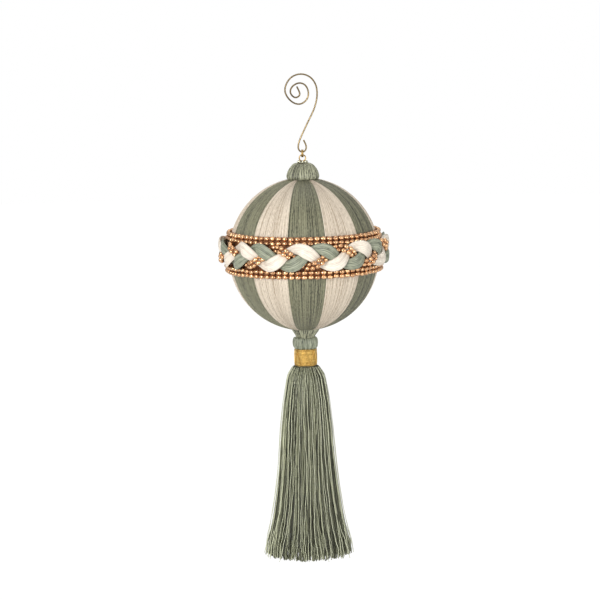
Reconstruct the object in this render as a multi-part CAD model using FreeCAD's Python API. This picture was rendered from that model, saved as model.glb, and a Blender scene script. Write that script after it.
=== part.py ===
import FreeCAD, Part
import math
import os

# Hanging tassel ornament: a thread-wrapped ball with a plaited belt, on a gilt hook.
# The origin is the hanging point inside the top turn of the hook, and +Z is up.
# All sizes are in millimetres.

# Clearances
fit_gap = 0.1            # wire in its bore, bead beside bead, strand beside ribbon
link_gap = 0.2           # between the links of the chain that the ornament swings on

# Hook
hook_wire_d = 1.05
hook_loop_r = 2.6        # centreline radius of the small loop at the foot
hook_foot_z = -51.0      # centreline of the foot of that loop
hook_curl = [            # centreline of the curl and stem as (x, z), tail end first
    (-3.0, -7.6), (-1.6, -10.6), (-1.2, -13.2), (-3.5, -14.9), (-6.2, -13.6), (-7.3, -10.9),
    (-6.6, -8.6), (-4.0, -6.2), (-0.6, -5.4), (2.6, -6.9), (4.3, -10.0), (4.5, -13.8),
    (2.4, -17.5), (-1.3, -19.3), (-5.2, -18.4), (-8.8, -15.2), (-10.8, -10.6), (-9.9, -6.0),
    (-6.4, -1.5), (0.0, 0.525), (5.9, -1.6), (9.5, -6.6), (10.4, -12.8), (9.3, -19.4),
    (7.2, -25.0), (4.7, -29.9), (2.1, -35.2), (-0.4, -40.4), (-2.2, -45.0),
]
hook_tip = [(1.9, -45.2), (0.9, -43.2)]

# Link between the hook and the eye: two turns of wire side by side
link_wire_d = 0.8
link_r = 2.25            # centreline radius
link_pitch = 0.76        # from one turn to the other

# Eye pin through the ball
eye_wire_d = 0.8
eye_r = 2.1              # centreline radius of the eye
eye_drop = 0.8           # centre of the eye below the foot of the link
eye_stand = 1.25         # foot of the eye's centreline above the top of the knob

# Ball
ball_d = 100.0           # across the wrapped ball at its equator
ball_pole_r = 51.0       # from the ball's centre to its wrapped pole
silk_t = 1.0             # thickness of the silk at the equator
stripe_count = 12
stripe_turn = 2.0        # first green stripe turned this far to the right of the front, degrees
pole_hole_r = 3.0        # hole that the threads leave at each pole

# Knob on the ball
knob_h = 60.8            # top of the knob above the ball's centre
knob_profile = [         # silhouette as (radius, height above the ball's centre), top first
    (3.4, 60.8), (5.6, 60.3), (7.4, 58.9), (8.7, 57.2),
    (9.8, 55.2), (10.5, 53.1), (10.7, 51.5), (10.3, 50.2),
]
knob_silk_t = 0.9
knob_folds = 36
knob_fold_d = 0.35       # depth of the groove between two folds

# Ring of beads under the eye
cap_bead_d = 1.8
cap_bead_count = 9
cap_ring_r = 2.8

# Belt around the ball
belt_z = 2.7             # middle of the belt above the ball's centre
ribbon_half = 13.6       # half of the ribbon's height
ribbon_t = 0.6
row_offsets = [11.9, 9.0, -9.0, -11.9]   # bead rows above the middle of the belt
row_names = ["bead_row_top", "bead_row_upper", "bead_row_lower", "bead_row_bottom"]
row_bead_l = 4.1
row_bead_d = 2.8
bead_profile = [         # half a bead's outline as (share of its length, share of its width)
    (-0.5, 0.56), (-0.27, 0.92), (0.0, 1.0), (0.27, 0.92), (0.5, 0.56),
]

# Plait of three strands around the belt
plait_repeats = 8
plait_lift = 0.8         # middle of the plait above the middle of the belt
plait_turn = -4.2        # turn of the plait about Z, degrees
plait_r = 54.0           # radius of the plait's middle
plait_wave = 5.6         # up and down
strand_weave = 2.0       # in and out, for the two wrapped strands
string_weave = 2.2       # in and out, for the strand of beads
strand_t = 2.3
strand_w_wide = 8.4      # where a strand passes over
strand_w_narrow = 4.0    # where it dips under
strand_sections = 14     # sections in one repeat
strand_corners = 10      # corners of a section
string_steps = 4000      # steps in which a string of beads is measured off
plait_bead_d = 2.8
plait_bead_l = 3.6
plait_bead_squeeze = 0.3 # how much smaller a bead is where its strand dips under

# Neck, collar and gold binding under the ball, as heights below the ball's centre
neck_profile = [(9.6, 49.2), (8.6, 51.4), (7.2, 53.4), (6.2, 55.0), (5.9, 56.2)]
collar_top = 56.2
collar_foot = 63.5
collar_r = 8.0
head_r = 6.3             # bundle of folded threads inside the collar and the binding
head_foot = 75.2
gold_foot = 74.6
gold_r = 7.2
gold_turns = 9
gold_groove_d = 0.3      # depth of the groove between two turns
gold_cord_d = 0.55       # crossing cord on the binding
gold_cross = 7           # crossings around the binding
gold_inset = 1.1         # corners of the crossing cord inside the binding's ends
gold_corner_share = 0.06 # share of a crossing left free at each corner

# End of the pin inside the tassel head
stop_r = 3.2
stop_t = 1.6
stop_z = 70.5

# Tassel skirt, as (radius, height below the ball's centre)
skirt_profile = [
    (8.2, 75.4), (9.6, 77.5), (11.8, 81.5), (13.2, 88.5), (14.9, 100.0), (16.6, 117.0), (17.9, 134.0),
    (19.6, 153.0), (22.0, 171.0), (24.6, 185.0), (26.6, 194.5), (27.0, 203.0),
]
skirt_core_share = 0.86  # radius of the inner threads as a share of the skirt's
lock_count = 34
lock_fill = 0.94         # share of the pitch that a lock fills
lock_sway = 2.2          # degrees, all locks together
lock_sway_turns = 1.1    # waves of that sway along the skirt
lock_half_w = 0.9        # half of a lock's flat back as a share of its half width
lock_sections = 15       # steps along a lock
lock_uneven = 0.3        # how much thinner the thinnest lock is
inner_cut = 1.0          # hollow of the inner threads' cut ends
lock_trims = [0.0, 1.6, 0.5, 2.6, 0.9, 3.4, 0.2, 2.0, 1.2, 3.0, 0.6]

# Heights that follow from the sizes above
hook_r = hook_wire_d / 2
link_wire_r = link_wire_d / 2
eye_wire_r = eye_wire_d / 2
link_clear = hook_loop_r - hook_r - link_wire_r - link_gap
link_top_z = hook_foot_z + hook_loop_r - math.sqrt(link_clear ** 2 - (link_pitch / 2) ** 2)
link_z = link_top_z - link_r
link_foot_z = link_z - link_r
eye_z = link_foot_z - eye_drop
knob_top_z = eye_z - eye_r - eye_stand
ball_z = knob_top_z - knob_h
ball_r = ball_d / 2
core_r = ball_r - silk_t
plait_z = ball_z + belt_z + plait_lift
bore_r = eye_wire_r + fit_gap

up = FreeCAD.Vector(0, 0, 1)
axis_point = FreeCAD.Vector(0, 0, 0)


def point(r, z, turn=0.0):
    """A point at radius r and height z, turned about Z by turn degrees from the front."""
    a = math.radians(turn - 90.0)
    return FreeCAD.Vector(r * math.cos(a), r * math.sin(a), z)


def in_plane(r, z):
    return FreeCAD.Vector(r, 0, z)


def line(a, b):
    return Part.LineSegment(a, b).toShape()


def spline(points):
    curve = Part.BSplineCurve()
    curve.interpolate(points)
    return curve.toShape()


def revolved(edges, start=0.0, sweep=360.0):
    """A solid of revolution about Z from a closed outline in the XZ plane."""
    face = Part.Face(Part.Wire(Part.__sortEdges__(edges)))
    face.rotate(axis_point, up, start)
    return face.revolve(axis_point, up, sweep)


def outline_solid(points):
    """A solid of revolution from corner points (radius, height)."""
    corners = [in_plane(r, z) for r, z in points]
    return revolved([line(a, b) for a, b in zip(corners, corners[1:] + corners[:1])])


def ellipse_arc(half_w, half_h, r_from, r_to, lower=False):
    """Arc of the ball's outline from radius r_from near one pole to radius r_to."""
    centre = in_plane(0, ball_z)
    curve = Part.Ellipse(in_plane(0, ball_z + half_h), in_plane(half_w, ball_z), centre)
    u_from = math.asin(r_from / half_w)
    u_to = math.asin(r_to / half_w)
    if lower:
        u_from, u_to = math.pi - u_to, math.pi - u_from
    return Part.ArcOfEllipse(curve, u_from, u_to).toShape()


def side_arc(half_w, half_h, z_top, z_foot):
    """Arc of the ball's outline between two heights measured from the ball's centre."""
    centre = in_plane(0, ball_z)
    curve = Part.Ellipse(in_plane(0, ball_z + half_h), in_plane(half_w, ball_z), centre)
    return Part.ArcOfEllipse(curve, math.acos(z_top / half_h), math.acos(z_foot / half_h)).toShape()


def silk_height(r):
    """Height of the wrapped ball's surface above its centre at radius r."""
    return ball_pole_r * math.sqrt(1 - (r / ball_r) ** 2)


def silk_radius(z):
    """Radius of the wrapped ball at height z from its centre."""
    return ball_r * math.sqrt(1 - (z / ball_pole_r) ** 2)


def between(outer, inner):
    """Closes the outline between two arcs that run side by side."""
    a, b = outer.valueAt(outer.FirstParameter), outer.valueAt(outer.LastParameter)
    c, d = inner.valueAt(inner.FirstParameter), inner.valueAt(inner.LastParameter)
    if a.distanceToPoint(c) > a.distanceToPoint(d):
        c, d = d, c
    return [outer, line(b, d), inner, line(c, a)]


def polygon(points):
    return Part.makePolygon(points + points[:1])


def faceted(rings):
    """A solid with flat or ruled sides through rings of points, closed by flat ends."""
    return Part.makeLoft([polygon(ring) for ring in rings], True, True)


def swept(path_edges, start, tangent, wire_r):
    """A round wire along a path."""
    circle = Part.Wire([Part.Circle(start, tangent, wire_r).toShape()])
    return Part.Wire(path_edges).makePipeShell([circle], True, False)


def bead(centre, along, across, out, length, width, sides):
    """A faceted barrel bead with its hole's line along the first direction."""
    rings = []
    for s, share in bead_profile:
        ring = []
        for k in range(sides):
            a = 2 * math.pi * (k + 0.5) / sides
            offset = across * math.cos(a) + out * math.sin(a)
            ring.append(centre + along * (s * length) + offset * (share * width / 2))
        rings.append(ring)
    return faceted(rings)


def wire_hook():
    foot = []
    for step in range(5):
        a = math.pi * (1 + step / 4)
        foot.append((hook_loop_r * math.cos(a), hook_foot_z + hook_loop_r * (1 + math.sin(a))))
    points = [in_plane(x, z) for x, z in hook_curl + foot + hook_tip]
    path = spline(points)
    return swept([path], points[0], path.tangentAt(path.FirstParameter), hook_r)


def link_ring():
    turns = []
    for side in (-0.5, 0.5):
        centre = FreeCAD.Vector(side * link_pitch, 0, link_z)
        turns.append(Part.makeTorus(link_r, link_wire_r, centre, FreeCAD.Vector(1, 0, 0)))
    return turns[0].fuse(turns[1]).removeSplitter()


def eye_pin():
    eye = Part.makeTorus(eye_r, eye_wire_r, in_plane(0, eye_z), FreeCAD.Vector(0, 1, 0))
    top = eye_z - eye_r
    foot = ball_z - stop_z - stop_t
    shank = Part.makeCylinder(eye_wire_r, top - foot, FreeCAD.Vector(0, 0, foot))
    return eye.fuse(shank)


def cap_beads():
    beads = []
    z = knob_top_z + cap_bead_d / 2
    for k in range(cap_bead_count):
        turn = 360.0 * k / cap_bead_count
        beads.append(Part.makeSphere(cap_bead_d / 2, point(cap_ring_r, z, turn)))
    return beads


def wrapped_ball():
    """The wrapped ball as one solid, for cutting pieces that stand on it."""
    arc = ellipse_arc(ball_r, ball_pole_r, 0.0, ball_r)
    low = ellipse_arc(ball_r, ball_pole_r, 0.0, ball_r, True)
    return revolved([arc, low, line(in_plane(0, ball_z - ball_pole_r), in_plane(0, ball_z + ball_pole_r))])


def knob_core():
    """Dome under the knob's thread, standing on the ball's surface."""
    waist = knob_profile[-1][1]
    sink = knob_silk_t / (knob_h - waist)
    outline = []
    for r, z in knob_profile:
        outline.append((r - knob_silk_t, ball_z + z - sink * (z - waist)))
    foot_r = outline[-1][0]
    outline += [(foot_r, ball_z + silk_height(foot_r)), (bore_r, ball_z), (bore_r, outline[0][1])]
    return outline_solid(outline).cut(wrapped_ball())


def knob_thread():
    """Thread dome in folds over the core: its rings go in and out by turns."""
    foot_r, foot_z = knob_profile[-1]
    rings = []
    for r, z in knob_profile + [(foot_r, foot_z - ball_pole_r / 10)]:
        ring = []
        for k in range(2 * knob_folds):
            depth = knob_fold_d * (k % 2)
            ring.append(point(r - depth, ball_z + z, 180.0 * k / knob_folds))
        rings.append(ring)
    bore = Part.makeCylinder(bore_r, knob_h, in_plane(0, ball_z))
    return faceted(rings).cut(wrapped_ball()).cut(knob_core()).cut(bore)


def foam_core():
    ball = Part.makeSphere(core_r, in_plane(0, ball_z))
    return ball.cut(Part.makeCylinder(bore_r, ball_d + 10, in_plane(0, ball_z - ball_r - 5)))


def silk_stripe(index):
    sweep = 360.0 / stripe_count
    outer_top = math.asin(pole_hole_r / ball_r)
    inner_top = math.asin(pole_hole_r / core_r)
    centre = in_plane(0, ball_z)
    outer = Part.Ellipse(in_plane(0, ball_z + ball_pole_r), in_plane(ball_r, ball_z), centre)
    inner = Part.Circle(centre, FreeCAD.Vector(0, 1, 0), core_r)
    outer_arc = Part.ArcOfEllipse(outer, outer_top, math.pi - outer_top).toShape()
    low = in_plane(core_r * math.sin(inner_top), ball_z - core_r * math.cos(inner_top))
    high = in_plane(core_r * math.sin(inner_top), ball_z + core_r * math.cos(inner_top))
    inner_arc = Part.Arc(low, in_plane(core_r, ball_z), high).toShape()
    start = stripe_turn - 90.0 - sweep / 2 + index * sweep
    return revolved(between(outer_arc, inner_arc), start, sweep)


def belt_ribbon():
    top = belt_z + ribbon_half
    foot = belt_z - ribbon_half
    inner = side_arc(ball_r, ball_pole_r, top, foot)
    outer = side_arc(ball_r + ribbon_t, ball_pole_r + ribbon_t, top, foot)
    return revolved(between(outer, inner))


def bead_row(offset):
    """A closed row of barrel beads lying on the ribbon."""
    z = belt_z + offset
    slope = math.atan2(z, silk_radius(z))
    reach = ribbon_t + fit_gap + row_bead_d / 2
    r = silk_radius(z) + reach * math.cos(slope)
    height = ball_z + z + reach * math.sin(slope)
    count = int(2 * math.pi * r / (row_bead_l + fit_gap))
    beads = []
    for k in range(count):
        turn = 360.0 * k / count
        out = point(1, 0, turn)
        along = point(1, 0, turn + 90.0)
        beads.append(bead(point(r, height, turn), along, up, out, row_bead_l, row_bead_d, 8))
    return beads


def strand_frame(theta, phase, weave):
    """Centre, along, across and outward directions of a strand at angle theta."""
    def centre(t):
        phi = plait_repeats * t + phase
        r = plait_r + weave * math.sin(2 * phi)
        z = plait_z + plait_wave * math.cos(phi)
        return point(r, z, math.degrees(t) + plait_turn)
    step = 1e-4
    here = centre(theta)
    along = (centre(theta + step) - centre(theta - step)).normalize()
    radial = point(1, 0, math.degrees(theta) + plait_turn)
    across = radial.cross(along).normalize()
    out = along.cross(across).normalize()
    return here, along, across, out


def over_share(theta, phase):
    """1 where the strand passes over another, 0 where it dips under."""
    return 0.5 + 0.5 * math.sin(2 * (plait_repeats * theta + phase))


def strand_section(theta, phase):
    """Corners of the flat oval section of a wrapped strand."""
    here, along, across, out = strand_frame(theta, phase, strand_weave)
    width = strand_w_narrow + (strand_w_wide - strand_w_narrow) * over_share(theta, phase)
    corners = []
    for k in range(strand_corners):
        a = 2 * math.pi * k / strand_corners
        u = math.cos(a) * width / 2
        v = math.sin(a) * strand_t / 2
        corners.append(here + across * u + out * v)
    return corners


def strand(phase):
    """One repeat of a wrapped strand, copied around the belt and joined up."""
    span = 2 * math.pi / plait_repeats
    sections = [strand_section(span * k / strand_sections, phase) for k in range(strand_sections + 1)]
    repeat = faceted(sections)
    copies = []
    for k in range(plait_repeats):
        copy = repeat.copy()
        copy.rotate(axis_point, up, 360.0 * k / plait_repeats)
        copies.append(copy)
    return copies[0].multiFuse(copies[1:]).removeSplitter()


def neck_thread():
    """Gathered threads from the foot of the ball down to the tassel's head."""
    hem_r = neck_profile[0][0]
    hem = in_plane(hem_r, ball_z - silk_height(hem_r))
    points = [hem] + [in_plane(r, ball_z - h) for r, h in neck_profile[1:]]
    foot = in_plane(bore_r, points[-1].z)
    top = in_plane(bore_r, ball_z - silk_height(bore_r))
    over = ellipse_arc(ball_r, ball_pole_r, bore_r, hem_r, True)
    return revolved([over, spline(points), line(points[-1], foot), line(foot, top)])


def tassel_collar():
    """Satin roll around the top of the tassel."""
    mid = (collar_top + collar_foot) / 2
    half = (collar_foot - collar_top) / 2 - fit_gap
    points = []
    for step in range(9):
        a = math.pi * (0.5 - step / 8)
        r = head_r + (collar_r - head_r) * math.cos(a) ** 0.5
        points.append(in_plane(r, ball_z - mid + half * math.sin(a)))
    return revolved([spline(points), line(points[-1], points[0])])


def tassel_head():
    """Folded threads inside the collar and the binding, closed around the pin's stop."""
    head = Part.makeCylinder(head_r, head_foot - collar_top, in_plane(0, ball_z - head_foot))
    bore = Part.makeCylinder(bore_r, stop_z - collar_top, in_plane(0, ball_z - stop_z))
    pocket_h = stop_t + 2 * fit_gap
    pocket = Part.makeCylinder(stop_r + fit_gap, pocket_h, in_plane(0, ball_z - stop_z - pocket_h))
    return head.cut(bore).cut(pocket)


def pin_stop():
    disc = Part.makeCylinder(stop_r, stop_t, in_plane(0, ball_z - stop_z - stop_t))
    return disc.cut(Part.makeCylinder(bore_r, stop_t, in_plane(0, ball_z - stop_z - stop_t)))


def gold_binding():
    """Metallic cord wound in turns around the tassel's head."""
    pitch = (gold_foot - collar_foot) / gold_turns
    groove_r = gold_r - gold_groove_d
    outline = [(head_r, ball_z - collar_foot)]
    for turn in range(gold_turns):
        top = ball_z - collar_foot - turn * pitch
        outline += [(groove_r, top), (gold_r, top - pitch / 3), (gold_r, top - 2 * pitch / 3)]
    outline += [(groove_r, ball_z - gold_foot), (head_r, ball_z - gold_foot)]
    return outline_solid(outline)


def gold_stitches():
    """Slanting cords that zigzag around the binding."""
    r = gold_r + fit_gap + gold_cord_d / 2
    stitches = []
    for k in range(2 * gold_cross):
        turn = 180.0 / gold_cross
        high = point(r, ball_z - collar_foot - gold_inset, (k + gold_corner_share) * turn)
        low = point(r, ball_z - gold_foot + gold_inset, (k + 1 - gold_corner_share) * turn)
        if k % 2:
            high.z, low.z = low.z, high.z
        rings = []
        for step in range(5):
            t = step / 4
            here = high + (low - high) * t
            out = FreeCAD.Vector(here.x, here.y, 0).normalize()
            here = FreeCAD.Vector(out.x * r, out.y * r, here.z)
            along = (low - high).normalize()
            across = along.cross(out).normalize()
            ring = []
            for side in range(6):
                a = math.pi * side / 3
                ring.append(here + (across * math.cos(a) + out * math.sin(a)) * (gold_cord_d / 2))
            rings.append(ring)
        stitches.append(faceted(rings))
    return stitches


def skirt_stations():
    """Skirt radius and height below the ball's centre at even steps along its silhouette."""
    path = spline([in_plane(r, h) for r, h in skirt_profile])
    span = path.LastParameter - path.FirstParameter
    stations = []
    for step in range(lock_sections + 1):
        here = path.valueAt(path.FirstParameter + span * step / lock_sections)
        stations.append((here.x, here.z))
    return stations


def tassel_inner():
    """The bundle of inner threads, which carries the locks outside it."""
    outline = [(r * skirt_core_share, ball_z - h) for r, h in skirt_stations()]
    foot_r, foot_z = outline[-1]
    outline += [(foot_r * 0.6, foot_z + inner_cut), (0, foot_z + 1.5 * inner_cut), (0, outline[0][1])]
    return outline_solid(outline)


def tassel_locks():
    """Locks of thread side by side around the inner bundle, cut to slightly different lengths."""
    pitch = 360.0 / lock_count
    half = pitch * lock_fill / 2
    stations = skirt_stations()
    top_h = stations[0][1]
    length = stations[-1][1] - top_h
    locks = []
    for k in range(lock_count):
        trim = lock_trims[k % len(lock_trims)]
        fullness = 1.0 - lock_uneven * ((k * 5) % 7) / 7
        rings = []
        for r, h in stations:
            if h - top_h == length:
                h -= trim
            sway = lock_sway * math.sin(2 * math.pi * lock_sway_turns * (h - top_h) / length)
            inner = r * skirt_core_share / math.cos(math.radians(half)) + fit_gap
            outer = inner + (r - inner) * fullness
            middle = (inner + outer) / 2
            shoulder = outer - 0.14 * (outer - inner)
            outline = [
                (inner, -lock_half_w), (inner, lock_half_w), (middle, 1.0), (shoulder, 0.62),
                (outer, 0.0), (shoulder, -0.62), (middle, -1.0),
            ]
            turn = pitch * k + sway
            rings.append([point(a, ball_z - h, turn + share * half) for a, share in outline])
        locks.append(faceted(rings))
    return locks


def beaded_strand(phase):
    """Two strings of small beads side by side along the third strand."""
    beads = []
    for side in (-0.5, 0.5):
        samples = []
        for k in range(string_steps + 1):
            theta = 2 * math.pi * k / string_steps
            here, along, across, out = strand_frame(theta, phase, string_weave)
            width = plait_bead_d * (1 - plait_bead_squeeze * (1 - over_share(theta, phase)))
            samples.append((here + across * (side * (width + fit_gap)), along, across, out, width))
        steps = [samples[k][0].distanceToPoint(samples[k + 1][0]) for k in range(string_steps)]
        count = int(sum(steps) / (plait_bead_l + fit_gap))
        pitch = sum(steps) / count
        run = 0.0
        placed = 0
        for k in range(string_steps):
            if placed < count and run >= placed * pitch:
                centre, along, across, out, width = samples[k]
                beads.append(bead(centre, along, across, out, plait_bead_l, width, 6))
                placed += 1
            run += steps[k]
    return beads


ivory_strand = strand(0.0)
green_strand = strand(4 * math.pi / 3)

parts = {
    "wire_hook": wire_hook(),
    "link_ring": link_ring(),
    "eye_pin": eye_pin(),
    "cap_beads": cap_beads(),
    "knob_core": knob_core(),
    "knob_thread": knob_thread(),
    "foam_core": foam_core(),
    "belt_ribbon": belt_ribbon(),
    "braid_ivory": ivory_strand,
    "braid_green": green_strand,
    "braid_beads": beaded_strand(2 * math.pi / 3),
    "neck_thread": neck_thread(),
    "tassel_collar": tassel_collar(),
    "tassel_head": tassel_head(),
    "pin_stop": pin_stop(),
    "gold_binding": gold_binding(),
    "gold_stitches": gold_stitches(),
    "tassel_inner": tassel_inner(),
    "tassel_locks": tassel_locks(),
}

for index in range(stripe_count):
    colour = "green" if index % 2 == 0 else "ivory"
    parts["silk_%s_%d" % (colour, index // 2 + 1)] = silk_stripe(index)

for name, offset in zip(row_names, row_offsets):
    parts[name] = bead_row(offset)

os.makedirs("parts", exist_ok=True)
for name, shape in parts.items():
    if isinstance(shape, list):
        shape = Part.makeCompound(shape)
    shape.exportStep("parts/%s.step" % name)
    print(name, len(shape.Solids), round(shape.Volume, 1), shape.isValid())
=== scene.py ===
import math

import bpy
import numpy as np
from bpy.props import FloatProperty, FloatVectorProperty, IntProperty, PointerProperty
from mathutils import Matrix, Vector


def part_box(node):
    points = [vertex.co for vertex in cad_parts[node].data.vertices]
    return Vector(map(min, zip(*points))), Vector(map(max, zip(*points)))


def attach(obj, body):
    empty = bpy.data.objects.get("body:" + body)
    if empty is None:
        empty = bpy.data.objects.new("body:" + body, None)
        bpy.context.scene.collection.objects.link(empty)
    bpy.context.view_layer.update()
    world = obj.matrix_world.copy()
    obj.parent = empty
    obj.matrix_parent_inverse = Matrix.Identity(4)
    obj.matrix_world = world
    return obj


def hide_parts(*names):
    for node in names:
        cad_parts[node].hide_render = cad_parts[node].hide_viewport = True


bl_info = {
    "name": "Tassel Ball Ornament",
    "version": (1, 0, 0),
    "blender": (4, 5, 0),
    "location": "3D View > Sidebar > Ornament",
    "description": "Dresses the packed ornament in silk, beads, plait and tassel",
    "category": "Object",
}

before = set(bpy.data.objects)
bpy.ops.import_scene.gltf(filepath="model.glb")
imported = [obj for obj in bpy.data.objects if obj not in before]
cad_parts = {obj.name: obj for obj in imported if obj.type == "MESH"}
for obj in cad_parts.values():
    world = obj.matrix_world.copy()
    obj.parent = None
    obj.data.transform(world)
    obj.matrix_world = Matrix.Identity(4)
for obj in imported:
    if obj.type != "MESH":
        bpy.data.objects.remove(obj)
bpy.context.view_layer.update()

MM = 0.001
TURN = 2 * math.pi


def linear(red, green, blue):
    """Linear colour for a colour that is read off a screen, from 0 to 255."""
    share = np.array([red, green, blue]) / 255.0
    low = share / 12.92
    high = ((share + 0.055) / 1.055) ** 2.4
    return tuple(float(c) for c in np.where(share <= 0.04045, low, high))


def node_middle(node):
    low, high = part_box(node)
    return (low + high) / 2


def distance(name, description, default):
    return FloatProperty(
        name=name, description=description, default=default, subtype="DISTANCE", unit="LENGTH"
    )


def degrees(name, description, amount):
    return FloatProperty(
        name=name, description=description, default=math.radians(amount), subtype="ANGLE"
    )


def watts(name, description, amount):
    return FloatProperty(name=name, description=description, default=amount, unit="POWER")


def colour(name, description, default):
    return FloatVectorProperty(
        name=name, description=description, default=default, size=3, min=0.0, max=1.0, subtype="COLOR"
    )


def number(name, description, default):
    return IntProperty(name=name, description=description, default=default, min=1, max=2000)


def share(name, description, default):
    return FloatProperty(
        name=name, description=description, default=default, min=0.0, max=1.0, subtype="FACTOR"
    )


# Settings


class BallSettings(bpy.types.PropertyGroup):
    centre: distance("Centre height", "Height of the ball's centre", node_middle("foam_core").z)
    radius: distance("Radius", "Radius of the wrapped ball at its equator", 50.0 * MM)
    pole_radius: distance("Pole radius", "Distance from the centre to a wrapped pole", 51.0 * MM)
    hole: distance("Pole hole", "Radius of the hole that the threads leave at each pole", 3.0 * MM)
    stripes: number("Stripes", "Stripes of silk around the ball", 12)
    pole_spread: share("Pole spread", "Share that a green stripe gains in width towards a pole", 0.85)
    first_turn: degrees("First stripe", "Turn of the first green stripe", 2.0)
    threads: number("Threads", "Threads across one stripe", 34)
    thread_height: distance("Thread height", "How far a thread stands out", 0.16 * MM)
    knob_threads: number("Knob threads", "Threads around the knob", 72)


class BeltSettings(bpy.types.PropertyGroup):
    height: distance("Height", "Middle of the belt above the ball's centre", 2.7 * MM)
    ribbon: distance("Ribbon", "Thickness of the ribbon under the beads", 0.6 * MM)
    outer_row: distance("Outer row", "Outer bead rows from the belt's middle", 11.9 * MM)
    inner_row: distance("Inner row", "Inner bead rows from the belt's middle", 9.0 * MM)
    bead_length: distance("Bead length", "Length of a bead in the rows", 4.1 * MM)
    bead_width: distance("Bead width", "Width of a bead in the rows", 2.8 * MM)
    gap: distance("Gap", "Gap between a bead and what is next to it", 0.1 * MM)
    repeats: number("Repeats", "Repeats of the plait around the ball", 8)
    plait_radius: distance("Plait radius", "Radius of the plait's middle", 54.0 * MM)
    plait_lift: distance("Plait lift", "Middle of the plait above the middle of the belt", 0.8 * MM)
    wave: distance("Wave", "How far a strand goes up and down", 5.6 * MM)
    weave: distance("Weave", "How far a strand goes in and out", 2.0 * MM)
    strand_thickness: distance("Strand thickness", "Thickness of a strand", 2.3 * MM)
    strand_wide: distance("Strand wide", "Width of a strand where it passes over", 8.9 * MM)
    strand_narrow: distance("Strand narrow", "Width of a strand where it dips under", 6.0 * MM)
    plait_turn: degrees("Plait turn", "Turn of the plait about the ball", -4.2)
    plait_bead_width: distance("Plait bead width", "Width of a bead in the plait", 2.8 * MM)
    plait_bead_length: distance("Plait bead length", "Length of a bead in the plait", 3.6 * MM)
    plait_squeeze: share("Squeeze", "How much smaller a bead is where its strand dips under", 0.18)


class TasselSettings(bpy.types.PropertyGroup):
    outer_threads: number("Outer threads", "Threads in the outermost layer", 290)
    middle_threads: number("Middle threads", "Threads in the layer below it", 220)
    inner_threads: number("Inner threads", "Threads in the innermost visible layer", 150)
    core_threads: number("Core threads", "Threads inside, seen from below", 190)
    stray_threads: number("Stray threads", "Loose threads outside the others", 60)
    thread: distance("Thread", "Thickness of a tassel thread", 0.8 * MM)
    stray: distance("Stray", "How far loose threads stand out at the foot", 3.2 * MM)


class FinishSettings(bpy.types.PropertyGroup):
    silk_green: colour("Green silk", "Lit threads of the green stripes", linear(134, 133, 106))
    silk_green_deep: colour("Green silk, deep", "Shaded threads of the green stripes", linear(22, 21, 8))
    silk_knob: colour("Knob silk", "Lit threads of the knob and the neck", linear(164, 165, 138))
    silk_ivory: colour("Ivory silk", "Lit threads of the ivory stripes", linear(218, 206, 188))
    silk_ivory_deep: colour("Ivory silk, deep", "Shaded threads of the ivory stripes", linear(146, 128, 106))
    satin_green: colour("Green satin", "Lit threads of the green strand", linear(158, 162, 140))
    satin_green_deep: colour("Green satin, deep", "Shaded threads of the green strand", linear(44, 52, 38))
    satin_ivory: colour("Ivory satin", "Lit threads of the ivory strand", linear(234, 226, 210))
    satin_ivory_deep: colour("Ivory satin, deep", "Shaded threads of the ivory strand", linear(186, 170, 156))
    tassel: colour("Tassel", "Lit threads of the tassel", linear(190, 193, 160))
    tassel_deep: colour("Tassel, deep", "Shaded threads of the tassel", linear(32, 34, 14))
    tassel_light: colour("Tassel, loose", "Lit loose threads of the tassel", linear(206, 208, 184))
    copper: colour("Copper", "Bright side of the copper beads", linear(255, 208, 156))
    copper_deep: colour("Copper, deep", "Dark side of the copper beads", linear(126, 58, 18))
    gold: colour("Gold thread", "Bright turns of the gold thread", linear(236, 204, 122))
    gold_deep: colour("Gold thread, deep", "Dark turns of the gold thread", linear(150, 108, 40))
    gilt: colour("Gilt wire", "Bright gilt of the hook", linear(140, 122, 88))
    gilt_deep: colour("Gilt wire, worn", "Worn gilt of the hook", linear(72, 60, 42))
    silver: colour("Silver bead", "Bright side of the beads on the knob", linear(214, 212, 190))


class StageSettings(bpy.types.PropertyGroup):
    camera_height: degrees("Camera height", "Camera's angle above the horizon", 7.3)
    camera_roll: degrees("Camera roll", "Lean of the camera to the right", 0.95)
    camera_distance: distance("Camera distance", "From the camera to the ornament's axis", 2.0)
    picture_width: distance("Picture width", "Width that the picture covers at the axis", 0.400)
    floor_height: distance("Floor height", "Height of the floor", -0.362)
    key_power: watts("Key light", "Power of the key light", 17.0)
    fill_power: watts("Fill light", "Power of the fill light", 10.0)
    top_power: watts("Top light", "Power of the top light", 3.0)
    room_light: FloatProperty(name="Room light", description="Strength of the light all round", default=0.62)


# Making meshes from arrays


def to_space(radius, height, turn):
    """x = r sin t, y = -r cos t, z = height: turn t is counted from the front, to the right."""
    radius, height, turn = np.broadcast_arrays(radius, height, turn)
    return np.stack([radius * np.sin(turn), -radius * np.cos(turn), height], -1)


def smooth_path(points, count):
    """Catmull-Rom curve through the points at count even steps: on each run a cubic whose slope at a point
    is half the step from the point before to the point after."""
    points = np.asarray(points, float)
    padded = np.vstack([2 * points[0] - points[1], points, 2 * points[-1] - points[-2]])
    place = np.linspace(0, len(points) - 1, count)
    run = np.minimum(place.astype(int), len(points) - 2)
    t = (place - run)[:, None]
    a, b, c, d = padded[run], padded[run + 1], padded[run + 2], padded[run + 3]
    return 0.5 * (2 * b + (c - a) * t + (2 * a - 5 * b + 4 * c - d) * t**2 + (3 * b - a - 3 * c + d) * t**3)


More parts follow.
